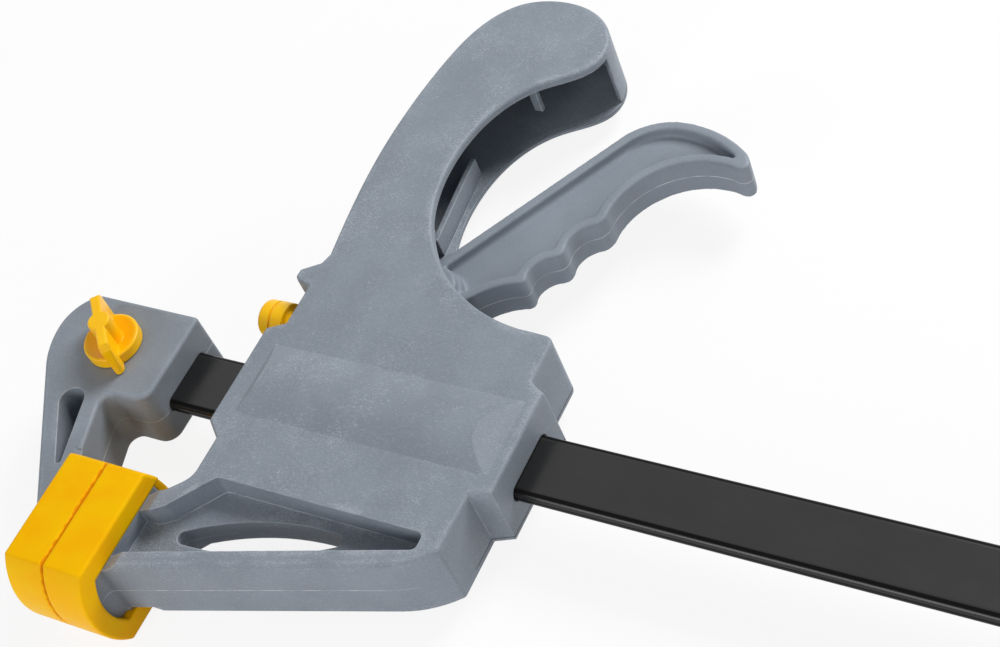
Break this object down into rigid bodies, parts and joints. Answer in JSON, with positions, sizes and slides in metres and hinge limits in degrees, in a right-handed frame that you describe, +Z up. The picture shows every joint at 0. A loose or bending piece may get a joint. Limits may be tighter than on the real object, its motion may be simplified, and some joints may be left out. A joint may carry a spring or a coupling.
{
  "type": "quick release bar clamp",
  "caption": "One-hand bar clamp: a fixed jaw locked on a flat bar and a sliding body with moving jaw, trigger and release button; soft pads cover both jaw tips.",
  "frame": {"origin": "where the plane between the closed pads meets the bar's centreline", "axes": "+X along the bar towards its free end, +Y towards the handle, +Z up through the side with the wing knob; the clamp lies on its side"},
  "size_m": [0.4661, 0.2242, 0.0389],
  "materials": {
    "nylon_grey": "fine grained",
    "pad_yellow": "satin",
    "knob_yellow": "gloss",
    "bar_black": "satin oxide",
    "steel": "plain",
    "spring_steel": "plain"
  },
  "bodies": {
    "frame": {"bar": "bar_black", "bar_stop_pin": "steel", "fixed_jaw": "nylon_grey", "fixed_jaw_pad": "pad_yellow"},
    "lock": {"lock_knob": "knob_yellow", "lock_shaft": "steel", "lock_washer": "steel", "lock_clip": "steel"},
    "slider": {"housing": "nylon_grey", "housing_cover": "nylon_grey", "cover_screws": "steel", "moving_jaw_pad": "pad_yellow", "trigger_pin": "steel", "drive_spring": "spring_steel", "brake_spring": "spring_steel"},
    "trigger": {"trigger": "nylon_grey"},
    "drive_plates": {"drive_plate_1": "steel", "drive_plate_2": "steel"},
    "brake": {"brake_plate": "steel"},
    "button": {"release_button": "knob_yellow"}
  },
  "joints": [
    {"name": "lock_turn", "type": "hinge", "parent": "frame", "child": "lock", "pos_m": [-0.0252, 0, 0], "axis": [0, 0, 1], "range_deg": [0, 90]},
    {"name": "body_slide", "type": "slide", "parent": "frame", "child": "slider", "axis": [1, 0, 0], "range_m": [0, 0.3]},
    {"name": "trigger_squeeze", "type": "hinge", "parent": "slider", "child": "trigger", "pos_m": [0.0564, 0.0413, 0], "axis": [0, 0, 1], "range_deg": [0, 18], "stiffness_Nm_per_rad": 0.8, "springref_deg": -8.59, "deforming": ["drive_spring"]},
    {"name": "drive_plate_travel", "type": "slide", "parent": "slider", "child": "drive_plates", "axis": [1, 0, 0], "range_m": [0, 0.0084], "deforming": ["drive_spring"]},
    {"name": "button_press", "type": "slide", "parent": "slider", "child": "button", "axis": [1, 0, 0], "range_m": [0, 0.0035], "stiffness_N_per_m": 600, "springref_m": -0.003, "deforming": ["brake_spring"]},
    {"name": "brake_tilt", "type": "hinge", "parent": "slider", "child": "brake", "pos_m": [0.0353, -0.0137, 0], "axis": [0, 0, -1], "range_deg": [0, 5.01], "deforming": ["brake_spring"]}
  ],
  "couplings": [
    {"joint": "drive_plate_travel", "follows": "trigger_squeeze", "m_per_rad": 0.02668},
    {"joint": "brake_tilt", "follows": "button_press", "rad_per_m": 24.93}
  ]
}
